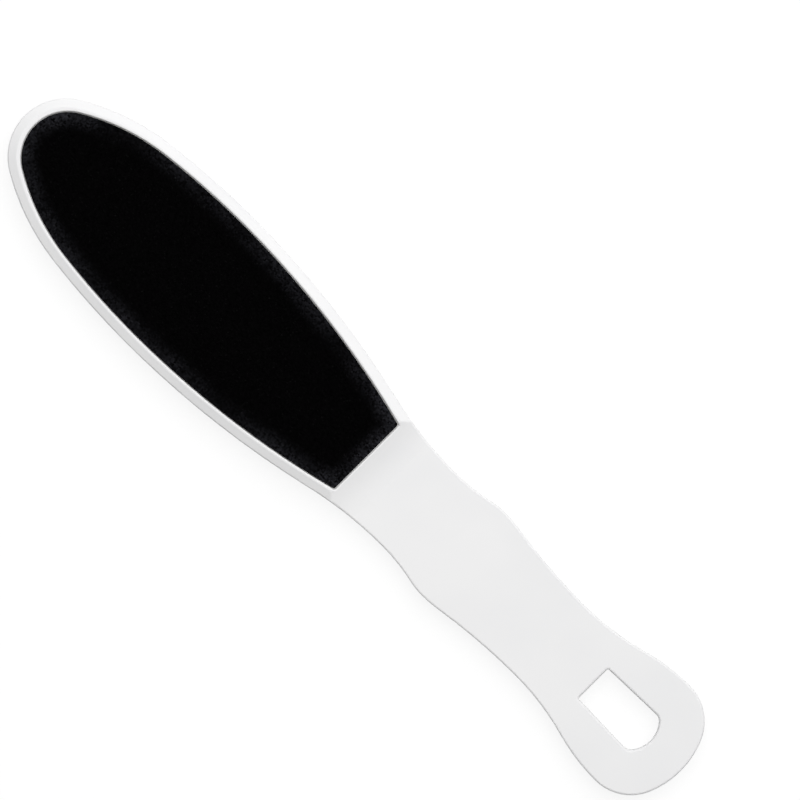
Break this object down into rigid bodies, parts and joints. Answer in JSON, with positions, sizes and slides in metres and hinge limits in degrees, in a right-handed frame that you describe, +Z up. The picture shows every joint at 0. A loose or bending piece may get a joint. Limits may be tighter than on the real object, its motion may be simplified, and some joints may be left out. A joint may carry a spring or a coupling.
{
  "type": "foot file",
  "caption": "Flat hand-held foot file: an oval paddle head with an abrasive sheet set in each face, a shaped handle and a loop to hang it by, for smoothing hard skin.",
  "frame": {"origin": "under the middle of the length and width, on the surface that the rear grit rests on", "axes": "+X along the paddle from the tip of the head to the hanging loop, +Y across it, +Z up out of the front face"},
  "size_m": [0.2476, 0.0476, 0.009],
  "materials": {
    "white_plastic": "white moulded plastic with a soft gloss",
    "adhesive": "translucent acrylic adhesive film",
    "backing_cloth": "dark resin-filled cloth, cut edge",
    "coarse_grit": "black coarse abrasive grain bonded in resin",
    "fine_grit": "black fine abrasive grain bonded in resin"
  },
  "bodies": {
    "root": {"paddle": "white_plastic", "front_adhesive_film": "adhesive", "front_backing_sheet": "backing_cloth", "front_grit_coat": "coarse_grit", "rear_adhesive_film": "adhesive", "rear_backing_sheet": "backing_cloth", "rear_grit_coat": "fine_grit"}
  },
  "joints": []
}
